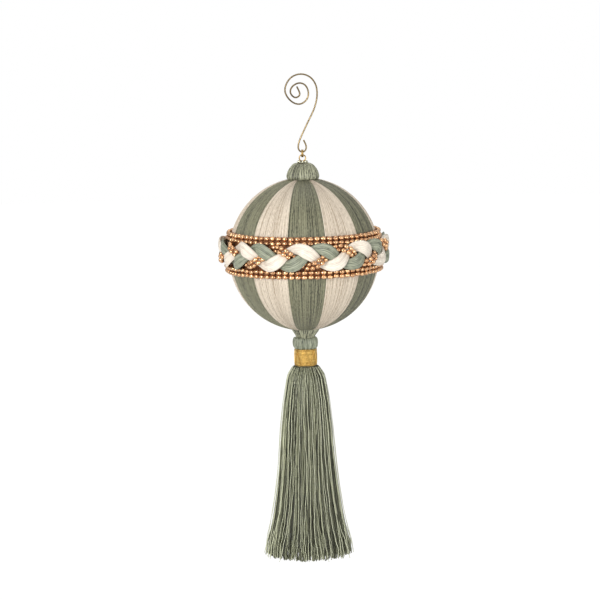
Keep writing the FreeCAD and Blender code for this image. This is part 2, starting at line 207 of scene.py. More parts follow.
def wander(rng, count, t, slow, fast, size):
    """Sum of three sines of t for each of count threads, with their own speeds and starts: size / 3 * sum
    sin(2 pi (speed t + start))."""
    total = np.zeros((count, len(t)))
    for _ in range(3):
        speed = rng.uniform(slow, fast, (count, 1))
        start = rng.uniform(0, 1, (count, 1))
        total += np.sin(TURN * (speed * t[None, :] + start))
    return size * total / 3


def signed_volume(points, quads, triangles):
    """Sum of the volumes of the pyramids from the origin to each face; positive where faces look
    outwards."""
    faces = [triangles, quads[:, [0, 1, 2]], quads[:, [0, 2, 3]]]
    corners = points[np.concatenate(faces)]
    return float(np.einsum("ij,ij->i", corners[:, 0], np.cross(corners[:, 1], corners[:, 2])).sum())


def make_mesh(name, points, quads, quad_uv=None, triangles=None, triangle_uv=None, tint=None):
    """A smooth mesh from arrays of points and faces, turned so that its faces look outwards."""
    if triangles is None:
        triangles = np.zeros((0, 3), int)
    if triangle_uv is None:
        triangle_uv = np.zeros(triangles.shape + (2,))
    centre = points.mean(0)
    if signed_volume(points - centre, quads, triangles) < 0:
        quads, triangles = quads[:, ::-1], triangles[:, ::-1]
        triangle_uv = triangle_uv[:, ::-1]
        quad_uv = None if quad_uv is None else quad_uv[:, ::-1]
    mesh = bpy.data.meshes.new(name)
    mesh.vertices.add(len(points))
    mesh.vertices.foreach_set("co", np.ascontiguousarray(points, np.float32).ravel())
    loops = np.concatenate([quads.ravel(), triangles.ravel()]).astype(np.int32)
    starts = np.concatenate([np.arange(len(quads)) * 4, len(quads) * 4 + np.arange(len(triangles)) * 3])
    mesh.loops.add(len(loops))
    mesh.loops.foreach_set("vertex_index", loops)
    mesh.polygons.add(len(starts))
    mesh.polygons.foreach_set("loop_start", starts.astype(np.int32))
    mesh.update(calc_edges=True)
    if quad_uv is not None:
        layer = mesh.uv_layers.new(name="thread")
        flat = np.concatenate([quad_uv.reshape(-1, 2), triangle_uv.reshape(-1, 2)])
        layer.data.foreach_set("uv", flat.astype(np.float32).ravel())
    if tint is not None:
        values = mesh.attributes.new("tint", "FLOAT", "POINT")
        values.data.foreach_set("value", np.ascontiguousarray(tint, np.float32).ravel())
    mesh.shade_smooth()
    mesh.validate()
    piece = bpy.data.objects.new(name, mesh)
    bpy.context.scene.collection.objects.link(piece)
    return piece


def grid_faces(rows, cols, wrap_rows, wrap_cols):
    """Corner numbers of the squares of a grid, and each corner's unwrapped row and column."""
    i, j = np.meshgrid(
        np.arange(rows if wrap_rows else rows - 1), np.arange(cols if wrap_cols else cols - 1), indexing="ij"
    )
    row = np.stack([i, i, i + 1, i + 1], -1).reshape(-1, 4)
    col = np.stack([j, j + 1, j + 1, j], -1).reshape(-1, 4)
    return (row % rows) * cols + col % cols, row, col


def tube_faces(count, steps, sides):
    """Faces of count equal tubes, each of steps rings with sides corners and a fan over both ends: the
    squares, the triangles, and the row and column of each square's corners in one tube."""
    quads, row, col = grid_faces(steps, sides, False, True)
    tip = np.arange(1, sides - 1)
    fan = np.stack([np.zeros_like(tip), tip + 1, tip], -1)
    fans = np.concatenate([fan, (steps - 1) * sides + fan[:, ::-1]])
    start = np.arange(count)[:, None, None] * steps * sides
    return (quads[None] + start).reshape(-1, 4), (fans[None] + start).reshape(-1, 3), row, col


def surface(name, grid, across, along, wrap_rows=False, wrap_cols=True):
    """A closed surface from a grid of points. Rows that don't wrap are closed at both ends by a fan to the
    middle of the end row. The surface's own map holds across for each column and along for each row."""
    rows, cols = grid.shape[:2]
    quads, row, col = grid_faces(rows, cols, wrap_rows, wrap_cols)
    quad_uv = np.stack([across[col], along[row]], -1)
    points = grid.reshape(-1, 3)
    triangles, triangle_uv = None, None
    if not wrap_rows:
        j = np.arange(cols)
        j2 = (j + 1) % cols
        end = (rows - 1) * cols
        first, last = len(points), len(points) + 1
        points = np.vstack([points, grid[0].mean(0), grid[-1].mean(0)])
        triangles = np.concatenate([
            np.stack([np.full(cols, first), j2, j], -1),
            np.stack([np.full(cols, last), end + j, end + j2], -1),
        ])
        edge = np.repeat(np.tile(across[:cols], 2)[:, None], 3, 1)
        end_along = np.repeat(np.repeat([along[0], along[rows - 1]], cols)[:, None], 3, 1)
        triangle_uv = np.stack([edge, end_along], -1)
    return make_mesh(name, points, quads, quad_uv, triangles, triangle_uv)


def thread_bundle(name, paths, radii, sides=3, seed=5):
    """Many thin threads in one mesh. Each thread is a ring of sides corners carried along its path: corner
    k sits at path + r (cos a b + sin a c), a = 2 pi k / sides, where b and c stand square to the path."""
    count, steps = paths.shape[:2]
    rng = np.random.default_rng(seed)
    ahead = np.gradient(paths, axis=1)
    ahead /= np.linalg.norm(ahead, axis=2, keepdims=True)
    outward = paths * np.array([1.0, 1.0, 0.0])
    outward /= np.linalg.norm(outward, axis=2, keepdims=True) + 1e-12
    side = np.cross(ahead, outward)
    side /= np.linalg.norm(side, axis=2, keepdims=True) + 1e-12
    outward = np.cross(side, ahead)
    angle = TURN * np.arange(sides) / sides
    ring = outward[:, :, None] * np.cos(angle)[:, None] + side[:, :, None] * np.sin(angle)[:, None]
    points = paths[:, :, None] + ring * radii[:, :, None, None]
    quads, triangles, row, col = tube_faces(count, steps, sides)
    length = np.linalg.norm(np.diff(paths, axis=1), axis=2).cumsum(1)
    length = np.concatenate([np.zeros((count, 1)), length], 1)
    across = np.arange(count)[:, None, None] + col[None] / sides
    quad_uv = np.stack([across, length[:, row]], -1).reshape(-1, 4, 2)
    triangle_uv = np.zeros(triangles.shape + (2,))
    triangle_uv[..., 0] = np.repeat(np.arange(count), len(triangles) // count)[:, None]
    tint = np.repeat(rng.uniform(0, 1, count), steps * sides)
    return make_mesh(name, points.reshape(-1, 3), quads, quad_uv, triangles, triangle_uv, tint)


def bead_mesh(name, centres, along, across, out, lengths, widths, seed=3):
    """Oval beads in one mesh: at angle q from a bead's end, x = l/2 cos q and its radius is w/2
    sin(q)^0.7."""
    rng = np.random.default_rng(seed)
    sides, bands = 10, 5
    q = np.linspace(0.16, math.pi - 0.16, bands + 1)
    a = TURN * np.arange(sides) / sides
    lie = np.repeat(0.5 * np.cos(q)[:, None], sides, 1).ravel()
    width = 0.5 * np.sin(q)[:, None] ** 0.7
    flat = (width * np.cos(a)).ravel()
    tall = (width * np.sin(a)).ravel()
    count = len(centres)
    lengths = np.broadcast_to(lengths, count)[:, None, None]
    widths = np.broadcast_to(widths, count)[:, None, None]
    points = centres[:, None] + along[:, None] * lie[None, :, None] * lengths
    points = points + (across[:, None] * flat[None, :, None] + out[:, None] * tall[None, :, None]) * widths
    quads, triangles = tube_faces(count, bands + 1, sides)[:2]
    tint = np.repeat(rng.uniform(0, 1, count), len(lie))
    return make_mesh(name, points.reshape(-1, 3), quads, None, triangles, None, tint)


def dress(piece, body, slot, material, *nodes):
    """Gives a new piece its material and its body, and hides the nodes that it stands for. Its slot is not
    used.
    """
    piece.data.materials.clear()
    piece.data.materials.append(material)
    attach(piece, body)
    if nodes:
        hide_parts(*nodes)


def finish_node(node, material):
    """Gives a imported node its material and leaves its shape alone."""
    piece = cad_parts[node]
    piece.data.materials.clear()
    piece.data.materials.append(material)
    piece.data.shade_smooth()


# Shapes of the pieces


def stripe_grid(ball, index):
    """Silk stripe as a closed skin. A row runs across the stripe at angle q from the upper pole, where the
    ball is R sin q wide and P cos q high. A green stripe's half width is h (1 + k (1 - sin q)^2), and an
    ivory one's h (1 - k (1 - sin q)^2), so the two still meet. Each thread is a ridge |sin(pi s)|^0.7
    across its own width s, laid at a slightly different height, and the threads wander a little sideways.
    The row closes below the silk."""
    rng = np.random.default_rng(40 + index)
    rows, samples, back_samples = 64, 4, 7
    overlap, edge_drop, depth = 1.012, 0.35 * MM, 0.8 * MM
    start = math.asin(ball.hole / ball.radius)
    t = np.linspace(0, 1, rows)
    q = start + (math.pi - 2 * start) * t
    middle_turn = ball.first_turn + TURN / ball.stripes * index
    gain = ball.pole_spread if index % 2 == 0 else -ball.pole_spread
    half = (math.pi / ball.stripes * (1 + gain * (1 - np.sin(q)) ** 2))[:, None]
    thread = np.arange(ball.threads * samples + 1) / samples
    which = np.minimum(thread.astype(int), ball.threads - 1)
    drift = wander(rng, ball.threads, t, 0.5, 2.5, 0.34)
    height = wander(rng, ball.threads, t, 0.4, 3.0, 0.30) + rng.uniform(-0.3, 0.3, (ball.threads, 1))
    across = 2 * thread / ball.threads - 1
    middle = 1 - np.abs(across) ** 6
    sideways = drift[which].T * 2 / ball.threads * (0.35 + 0.65 * middle)
    turn = middle_turn + half * overlap * (across + sideways)
    ridge = np.abs(np.sin(math.pi * thread)) ** 0.7
    lift = ball.thread_height * (ridge + height[which].T)
    lift = lift * np.sin(q)[:, None] ** 0.5 - edge_drop * np.abs(across) ** 60
    radius = (ball.radius + lift) * np.sin(q)[:, None]
    top = ball.centre + (ball.pole_radius + lift) * np.cos(q)[:, None]
    outer = to_space(radius, top, turn)
    back = np.linspace(1.0, -1.0, back_samples)
    inside = to_space(
        ((ball.radius - depth) * np.sin(q))[:, None],
        (ball.centre + (ball.pole_radius - depth) * np.cos(q))[:, None],
        middle_turn + half * back,
    )
    grid = np.concatenate([outer, inside], 1)
    across_map = np.concatenate([thread, np.linspace(ball.threads, 0, back_samples), [0.0]]) + 50 * index
    return grid, across_map, ball.radius * q / MM


def from_centre(profile, ball, way):
    """Points of radius and distance from the ball's centre, in millimetres, as radius and height in metres.
    way is 1 where the distance goes up and -1 where it goes down."""
    points = np.array(profile) * MM
    points[:, 1] = ball.centre + way * points[:, 1]
    return points


def dome_grid(profile, threads, samples, ridge_height, rows, seed, lumps=0.0, lump_count=7):
    """Wound or gathered threads around a profile: the radius of the profile at height z, plus a ridge
    |sin(pi s)|^0.7 for each thread and, where asked, soft lumps sin(k a + 1.3 sin 2a + 2.2 t) at angle a
    and share t of the profile, which fade out at both its ends."""
    rng = np.random.default_rng(seed)
    path = smooth_path(profile, rows)
    t = np.linspace(0, 1, rows)
    thread = np.arange(threads * samples) / samples
    turn = TURN * thread / threads
    which = thread.astype(int)
    step = np.gradient(path, axis=0)
    step /= np.linalg.norm(step, axis=1, keepdims=True) + 1e-12
    normal = np.stack([-step[:, 1], step[:, 0]], -1)
    drift = wander(rng, threads, t, 0.2, 1.4, 0.4)[which].T / threads * TURN
    height = (wander(rng, threads, t, 0.3, 2.0, 0.35) + rng.uniform(-0.3, 0.3, (threads, 1)))[which].T
    ridge = np.abs(np.sin(math.pi * thread))[None] ** 0.7
    fade = np.minimum(1.0, path[:, :1] / path[:, 0].max() * 1.6)
    lift = ridge_height * (ridge + height) * fade
    if lumps:
        swell = np.sin(lump_count * turn[None] + 1.3 * np.sin(2 * turn)[None] + 2.2 * t[:, None])
        lift = lift + lumps * swell * np.sin(math.pi * t)[:, None]
    radius = path[:, :1] + normal[:, :1] * lift
    height = path[:, 1:] + normal[:, 1:] * lift
    length = np.concatenate([[0], np.linalg.norm(np.diff(path, axis=0), axis=1).cumsum()])
    across = np.append(thread, threads)
    return to_space(radius, height, turn[None] + drift), across, length / MM


def winding_grid(radius, top, foot, turns, depth, inner, seed):
    """Cord wound in n turns: at share t of the height and angle a the radius is the outer radius less depth
    |cos(pi (n t + a / 2 pi))|^0.8, so that the turns climb as a screw. The grid closes inside at the inner
    radius."""
    rng = np.random.default_rng(seed)
    rows, cols = turns * 6 + 1, 120
    roughness, end_round = 0.12 * MM, 0.25 * MM
    turn = TURN * np.arange(cols) / cols
    t = np.linspace(0, 1, rows)[:, None]
    uneven = 0.35 * np.sin(3 * turn + rng.uniform(0, 6)) + 0.25 * np.sin(7 * turn + rng.uniform(0, 6))
    groove = np.abs(np.cos(math.pi * (turns * t + turn / TURN + 0.08 * uneven))) ** 0.8
    crown = 1 - (2 * t - 1) ** 8
    r = radius - depth * groove + roughness * uneven * crown - end_round * (1 - crown)
    outer = to_space(r, top + (foot - top) * t, turn[None])
    inside = to_space(np.full((2, cols), inner), np.array([[foot], [top]]), turn[None])
    grid = np.concatenate([outer, inside]).transpose(1, 0, 2)
    across = np.concatenate([t[:, 0] * turns, [turns, 0.0], [0.0]])
    return grid, across, np.linspace(0, 1, cols + 1) * TURN * radius / MM


def strand_frames(belt, ball, phase, turn):
    """Middle of a plaited strand: phi = n t + phase, radius R + d sin 2 phi, height h cos phi. Along is its
    slope, across lies square to it on the ball, and out looks away from the ball."""
    def middle(t):
        phi = belt.repeats * t + phase
        radius = belt.plait_radius + belt.weave * np.sin(2 * phi)
        height = ball.centre + belt.height + belt.plait_lift + belt.wave * np.cos(phi)
        return to_space(radius, height, t + belt.plait_turn)

    centre = middle(turn)
    along = middle(turn + 1e-4) - middle(turn - 1e-4)
    along /= np.linalg.norm(along, axis=1, keepdims=True)
    radial = to_space(1.0, 0.0, turn + belt.plait_turn)
    across = np.cross(radial, along)
    across /= np.linalg.norm(across, axis=1, keepdims=True)
    over = 0.5 + 0.5 * np.sin(2 * (belt.repeats * turn + phase))
    return centre, along, across, np.cross(along, across), over


def strand_grid(belt, ball, phase, seed):
    """Flat skein of satin threads. At angle a around it, a point lies w/2 cos a across and t/2 sin a out,
    with a ridge |sin(pi s)|^0.7 for each thread and a raised bundle of threads along both edges."""
    rng = np.random.default_rng(seed)
    rows, threads, samples = belt.repeats * 40, 22, 3
    ridge_height, sink, rim_height = 0.09 * MM, 0.12 * MM, 0.16 * MM
    turn = TURN * np.arange(rows) / rows
    centre, _, across, out, over = strand_frames(belt, ball, phase, turn)
    thread = np.arange(threads * samples) / samples
    a = TURN * thread / threads
    width = belt.strand_narrow + (belt.strand_wide - belt.strand_narrow) * over
    flat = np.cos(a)
    tall = np.sin(a) * (1 - 0.18 * np.abs(flat) ** 3)
    ridge = np.abs(np.sin(math.pi * thread)) ** 0.7
    uneven = rng.uniform(-0.35, 0.35, threads)[thread.astype(int)]
    slow = wander(rng, threads, turn / TURN * belt.repeats, 1.0, 1.0, 0.35)[thread.astype(int)].T
    lift = ridge_height * (ridge[None] + uneven[None] + slow) - sink
    rim = rim_height * np.exp(-(((np.abs(flat) - 0.86) / 0.09) ** 2))
    u = flat[None] * (width[:, None] / 2 + lift)
    v = tall[None] * (belt.strand_thickness / 2 + lift) + np.sign(tall) * rim
    grid = centre[:, None] + across[:, None] * u[..., None] + out[:, None] * v[..., None]
    length = np.linspace(0, 1, rows + 1) * TURN * belt.plait_radius * 1.11
    return grid, np.append(thread, threads), length / MM


def closed_thread(path, radius, sides=6):
    """A thin cord around a closed path: a ring of sides corners in the plane square to the path."""
    along = np.roll(path, -1, 0) - np.roll(path, 1, 0)
    along /= np.linalg.norm(along, axis=1, keepdims=True)
    out = path * np.array([1.0, 1.0, 0.0])
    out /= np.linalg.norm(out, axis=1, keepdims=True)
    side = np.cross(along, out)
    a = TURN * np.arange(sides) / sides
    grid = path[:, None] + radius * (out[:, None] * np.cos(a)[:, None] + side[:, None] * np.sin(a)[:, None])
    steps = np.linalg.norm(np.roll(path, -1, 0) - path, axis=1).cumsum()
    return grid, np.arange(sides + 1) / sides, np.concatenate([[0], steps]) / MM


def join_pieces(name, pieces):
    """One object from several new ones."""
    with bpy.context.temp_override(active_object=pieces[0], selected_editable_objects=pieces):
        bpy.ops.object.join()
    pieces[0].name = name
    pieces[0].data.name = name
    return pieces[0]


def bead_row(belt, ball, offset):
    """Radius, height and turns of the beads in one closed row that lies on the ribbon."""
    height = belt.height + offset
    width = ball.radius * math.sqrt(1 - (height / ball.pole_radius) ** 2)
    slope = math.atan2(height, width)
    reach = belt.ribbon + belt.gap + belt.bead_width / 2
    radius = width + reach * math.cos(slope)
    top = ball.centre + height + reach * math.sin(slope)
    count = int(TURN * radius / (belt.bead_length + belt.gap))
    turn = TURN * np.arange(count) / count
    return radius, top, turn


def skirt_profile():
    """Silhouette of the tassel's skirt as radius and height below the ball's centre."""
    return np.array([
        (8.2, 75.4), (9.6, 77.5), (11.8, 81.5), (13.2, 88.5), (14.9, 100.0), (16.6, 117.0), (17.9, 134.0),
        (19.6, 153.0), (22.0, 171.0), (24.6, 185.0), (26.6, 194.5), (27.0, 203.0),
    ]) * MM


def skirt_threads(ball, count, steps, low, high, thread, seed, stray):
    """Tassel threads. Thread n runs down the skirt's silhouette at share k of its radius, drawn between low
    and high, and its turn and radius wander with slow waves and small kinks. The threads gather into locks,
    and the feet are cut unevenly and flare."""
    rng = np.random.default_rng(seed)
    t = np.linspace(0, 1, steps)
    path = smooth_path(skirt_profile(), 400)
    radius = np.interp(t, np.linspace(0, 1, 400), path[:, 0])
    depth = np.interp(t, np.linspace(0, 1, 400), path[:, 1])
    turn = TURN * (np.arange(count) + rng.uniform(-0.35, 0.35, count)) / count
    locks = 26
    lock = np.round(turn / TURN * locks)
    gather = 0.16 * (lock * TURN / locks - turn)[:, None] * np.sin(math.pi * t**0.8)[None]
    lock_sway = wander(rng, locks + 1, t, 0.5, 1.6, 1.0)[lock.astype(int)] * math.radians(1.5)
    own = wander(rng, count, t, 1.0, 3.2, 1.0) * MM / radius[None] * (0.3 + t[None])
    kinks = wander(rng, count, t, 7.0, 14.0, 1.0) * 0.42 * MM / radius[None] * (0.4 + 0.6 * t[None])
    share = rng.uniform(low, high, (count, 1))
    pull = wander(rng, count, t, 0.7, 2.6, 1.0) * 0.5 * MM * (0.2 + t[None])
    flare = stray * rng.uniform(-0.35, 1.0, (count, 1)) ** 3 * np.clip((t[None] - 0.72) / 0.28, 0, 1) ** 2
    r = radius[None] * share + pull + flare
    foot = depth[-1] + rng.uniform(-3.2, 0.9, (count, 1)) * MM * rng.uniform(0, 1, (count, 1))
    z = depth[0] + (depth[None] - depth[0]) * (foot - depth[0]) / (depth[-1] - depth[0])
    paths = to_space(r, ball.centre - z, turn[:, None] + gather + lock_sway + own + kinks)
    radii = thread / 2 * (0.62 + 0.38 * np.clip(t * 2.2, 0, 1))[None] * rng.uniform(0.86, 1.12, (count, 1))
    return paths, radii * np.ones((1, steps))


# Materials


class Shading:
    """A short hand for making nodes and links in a material or a group."""

    def __init__(self, tree):
        self.tree = tree

    def node(self, kind, values=None, **settings):
        made = self.tree.nodes.new(kind)
        for name, value in settings.items():
            setattr(made, name, value)
        for name, value in (values or {}).items():
            self.set(made, name, value)
        return made

    def set(self, made, name, value):
        if isinstance(value, bpy.types.NodeSocket):
            self.tree.links.new(value, made.inputs[name])
        else:
            made.inputs[name].default_value = value

    def sums(self, operation, *values):
        made = self.node("ShaderNodeMath", operation=operation)
        for index, value in enumerate(values):
            self.set(made, index, value)
        return made.outputs[0]

    def mix(self, factor, first, second):
        made = self.node("ShaderNodeMix", data_type="RGBA")
        self.set(made, 0, factor)
        self.set(made, 6, first)
        self.set(made, 7, second)
        return made.outputs[2]

    def stretch(self, value, low, high, new_low, new_high):
        made = self.node("ShaderNodeMapRange", clamp=True)
        for index, item in enumerate((value, low, high, new_low, new_high)):
            self.set(made, index, item)
        return made.outputs[0]


def new_group(name, inputs, outputs):
    """A shader node group with named sockets. Returns it with its input and output nodes."""
    group = bpy.data.node_groups.new(name, "ShaderNodeTree")
    kinds = {"f": "NodeSocketFloat", "v": "NodeSocketVector", "c": "NodeSocketColor"}
    for label, kind, default in inputs:
        socket = group.interface.new_socket(name=label, in_out="INPUT", socket_type=kinds[kind])
        if default is not None:
            socket.default_value = default
    for label, kind in outputs:
        group.interface.new_socket(name=label, in_out="OUTPUT", socket_type=kinds[kind])
    work = Shading(group)
    return group, work, work.node("NodeGroupInput"), work.node("NodeGroupOutput")


def spun_thread_group():
    """Parallel threads on the piece's own map. Its x counts threads, and its y is the length in
    millimetres. Each thread has its own tone, long streaks run along it, and fibres twist around it. The
    colour runs between a lit and a shaded colour, and the groove between threads is painted darker as shade."""
    group, work, given, result = new_group(
        "Spun thread",
        [("Place", "v", None), ("Light", "c", (1, 1, 1, 1)), ("Deep", "c", (0.5, 0.5, 0.5, 1)),
         ("Contrast", "f", 1.0), ("Streak", "f", 0.05), ("Twist", "f", 0.0), ("Fibres", "f", 3.0)],
        [("Colour", "c"), ("Roughness", "f"), ("Height", "f")],
    )
    parts = work.node("ShaderNodeSeparateXYZ", {0: given.outputs["Place"]})
    x, y = parts.outputs[0], parts.outputs[1]
    which = work.sums("FLOOR", x)
    own = work.node("ShaderNodeTexWhiteNoise", {"W": which}, noise_dimensions="1D").outputs["Value"]
    streak_place = work.node(
        "ShaderNodeCombineXYZ",
        {0: work.sums("MULTIPLY", x, 0.8), 1: work.sums("MULTIPLY", y, given.outputs["Streak"])},
    )
    streak = work.node(
        "ShaderNodeTexNoise",
        {"Vector": streak_place.outputs[0], "Scale": 1.0, "Detail": 3.0, "Roughness": 0.6},
    ).outputs[0]
    groove = work.sums("ABSOLUTE", work.sums("SINE", work.sums("MULTIPLY", x, math.pi)))
    fibre_phase = work.sums(
        "ADD",
        work.sums("MULTIPLY", work.sums("MULTIPLY", x, given.outputs["Fibres"]), TURN),
        work.sums("MULTIPLY", work.sums("MULTIPLY", y, given.outputs["Twist"]), TURN),
    )
    fibre = work.sums("SINE", fibre_phase)
    fleck_place = work.node(
        "ShaderNodeCombineXYZ", {0: work.sums("MULTIPLY", x, 1.7), 1: work.sums("MULTIPLY", y, 0.42)}
    )
    fleck = work.node(
        "ShaderNodeTexNoise",
        {"Vector": fleck_place.outputs[0], "Scale": 1.0, "Detail": 2.0, "Roughness": 0.7},
    ).outputs[0]
    shade = work.sums("MULTIPLY", work.sums("SUBTRACT", own, 0.5), 0.40)
    # The groove term darkens the threads' edges: painted shade in the grooves between threads
    for part, middle, size in ((streak, 0.5, 1.3), (fleck, 0.5, 1.5), (groove, 0.64, 0.7)):
        swing = work.sums("SUBTRACT", part, middle)
        shade = work.sums("ADD", shade, work.sums("MULTIPLY", swing, size))
    shade = work.sums("ADD", shade, work.sums("MULTIPLY", fibre, 0.06))
    factor = work.sums("ADD", work.sums("MULTIPLY", shade, given.outputs["Contrast"]), 0.58)
    factor = work.stretch(factor, 0.0, 1.0, 0.0, 1.0)
    work.set(result, "Colour", work.mix(factor, given.outputs["Deep"], given.outputs["Light"]))
    work.set(result, "Roughness", work.stretch(streak, 0.3, 0.7, 0.36, 0.56))
    height = work.sums("ADD", work.sums("MULTIPLY", groove, 0.7), work.sums("MULTIPLY", fibre, 0.16))
    work.set(result, "Height", work.sums("ADD", height, work.sums("MULTIPLY", streak, 0.4)))
    return group


def wear_and_shade_metal_group():
    """Bright metal with darker patches and fine scratches, on Object coordinates. On the foam and the gilt
    and gold wire the patches are wear and tone; on the copper and silver beads they are painted shade and
    painted dark reflections.
    """
    group, work, given, result = new_group(
        "Worn metal",
        [("Place", "v", None), ("Bright", "c", (1, 1, 1, 1)), ("Worn", "c", (0.3, 0.3, 0.3, 1)),
         ("Size", "f", 300.0), ("Wear and shade", "f", 0.5), ("Smooth", "f", 0.2)],
        [("Colour", "c"), ("Roughness", "f"), ("Height", "f")],
    )
    place, size = given.outputs["Place"], given.outputs["Size"]
    fine = work.sums("MULTIPLY", size, 7.0)
    patches = work.node("ShaderNodeTexNoise", {"Vector": place, "Scale": size, "Detail": 4.0}).outputs[0]
    grain = work.node("ShaderNodeTexNoise", {"Vector": place, "Scale": fine, "Detail": 2.0}).outputs[0]
    # Patch mask: wear and tone on the wire and foam, painted shade and dark reflections on the beads
    worn_and_shaded = work.stretch(patches, 0.42, 0.68, 0.0, 1.0)
    worn_and_shaded = work.sums("MULTIPLY", worn_and_shaded, given.outputs["Wear and shade"])
    work.set(result, "Colour", work.mix(worn_and_shaded, given.outputs["Bright"], given.outputs["Worn"]))
    rough = work.sums("ADD", given.outputs["Smooth"], work.sums("MULTIPLY", worn_and_shaded, 0.25))
    work.set(result, "Roughness", work.sums("ADD", rough, work.sums("MULTIPLY", grain, 0.06)))
    work.set(result, "Height", work.sums("ADD", work.sums("MULTIPLY", patches, 0.6), grain))
    return group


def woven_ribbon_group():
    """Plain weave around the ball on Object coordinates: warp across the height and weft around the
    belt."""
    group, work, given, result = new_group(
        "Woven ribbon",
        [("Place", "v", None), ("Light", "c", (1, 1, 1, 1)), ("Deep", "c", (0.3, 0.3, 0.3, 1)),
         ("Count", "f", 160.0)],
        [("Colour", "c"), ("Roughness", "f"), ("Height", "f")],
    )
    place = given.outputs["Place"]
    parts = work.node("ShaderNodeSeparateXYZ", {0: place})
    around = work.sums("ARCTAN2", parts.outputs[0], parts.outputs[1])
    around = work.sums("MULTIPLY", around, given.outputs["Count"])
    up = work.sums("MULTIPLY", parts.outputs[2], 3200.0)
    warp = work.sums("SINE", around)
    weft = work.sums("SINE", up)
    over = work.sums("MULTIPLY", warp, weft)
    cloud = work.node("ShaderNodeTexNoise", {"Vector": place, "Scale": 220.0, "Detail": 3.0}).outputs[0]
    factor = work.stretch(work.sums("ADD", work.sums("MULTIPLY", over, 0.3), cloud), 0.2, 0.9, 0.0, 1.0)
    work.set(result, "Colour", work.mix(factor, given.outputs["Deep"], given.outputs["Light"]))
    work.set(result, "Roughness", work.stretch(cloud, 0.3, 0.7, 0.5, 0.75))
    work.set(result, "Height", over)
    return group


def material(name, group, place, inputs, bump, depth, **surface_values):
    """A material around one shared group: the group's colour, roughness and height feed the surface, and
    its uniform values are set on the surface's own sockets. place is 'map' or 'object'."""
    made = bpy.data.materials.new(name)
    made.use_nodes = True
    made.node_tree.nodes.clear()
    work = Shading(made.node_tree)
    if place == "map":
        source = work.node("ShaderNodeUVMap", uv_map="thread").outputs[0]
    else:
        source = work.node("ShaderNodeTexCoord").outputs["Object"]
    pattern = work.node("ShaderNodeGroup", node_tree=group)
    work.set(pattern, "Place", source)
    for label, value in inputs.items():
        work.set(pattern, label, value)
    shader = work.node("ShaderNodeBsdfPrincipled")
    work.set(shader, "Base Color", pattern.outputs["Colour"])
    work.set(shader, "Roughness", pattern.outputs["Roughness"])
    relief = work.node(
        "ShaderNodeBump", {"Strength": bump, "Distance": depth, "Height": pattern.outputs["Height"]}
    )
    work.set(shader, "Normal", relief.outputs[0])
    for label, value in surface_values.items():
        work.set(shader, label.replace("_", " "), value)
    out = work.node("ShaderNodeOutputMaterial")
    work.tree.links.new(shader.outputs[0], out.inputs[0])
    return made


def bead_material(name, group, bright, deep):
    """Metallic lustre beads: the patches mix the bright-side colour with the dark-side colour, a painted
    shade, and each bead's tint attribute shifts it further between the bright and the deep colour."""
    made = material(
        name, group, "object",
        {"Bright": bright, "Worn": deep, "Size": 900.0, "Wear and shade": 0.75, "Smooth": 0.14},
        0.12, 0.0001, Metallic=0.9, Coat_Weight=0.35, Coat_Roughness=0.08,
    )
    work = Shading(made.node_tree)
    tint = work.node("ShaderNodeAttribute", attribute_name="tint").outputs["Fac"]
    pattern = next(n for n in made.node_tree.nodes if n.type == "GROUP")
    shader = next(n for n in made.node_tree.nodes if n.type == "BSDF_PRINCIPLED")
    # The tint mixes in the dark-side colour, which is painted shade, by a random share for each bead
    shift = work.stretch(tint, 0.0, 1.0, 0.0, 0.45)
    work.set(shader, "Base Color", work.mix(shift, pattern.outputs["Colour"], deep))
    return made


def solid(three):
    """A colour with full cover, as a node's colour socket takes it."""
    return (*three, 1.0)


